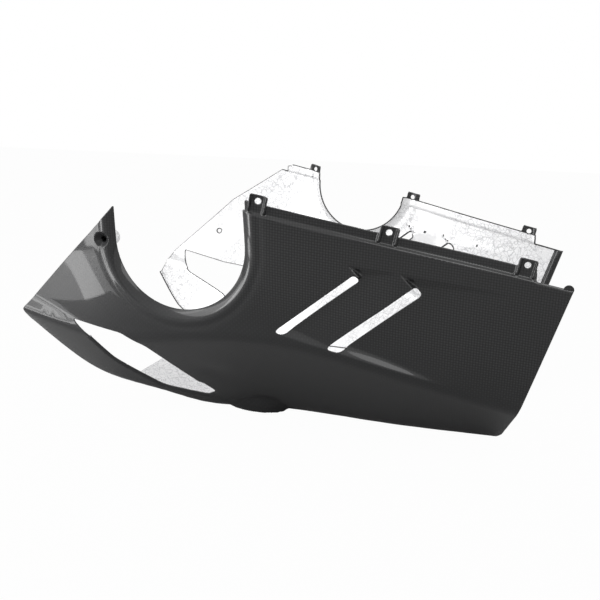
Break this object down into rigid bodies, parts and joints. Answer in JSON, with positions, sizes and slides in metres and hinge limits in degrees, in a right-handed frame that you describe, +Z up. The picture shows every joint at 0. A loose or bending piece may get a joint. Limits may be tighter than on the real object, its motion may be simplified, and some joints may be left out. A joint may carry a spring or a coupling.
{
  "type": "motorcycle belly pan",
  "caption": "Moulded carbon belly pan of a sport motorcycle, open at the top and ends, with round side cut-outs, slanted louvres, fixing tabs and a heat-foil lining",
  "frame": {"origin": "on the underside of the flat floor, on the centre plane", "axes": "+X points to the tail of the motorcycle, +Y to its right-hand side, +Z up"},
  "size_m": [0.6413, 0.4604, 0.3069],
  "materials": {
    "carbon": "clear-coated plain-weave carbon laminate",
    "foil": "bright crinkled heat-reflective foil"
  },
  "bodies": {
    "root": {"pan_shell": "carbon", "heat_foil_left": "foil", "heat_foil_right": "foil", "heat_foil_floor": "foil"}
  },
  "joints": []
}
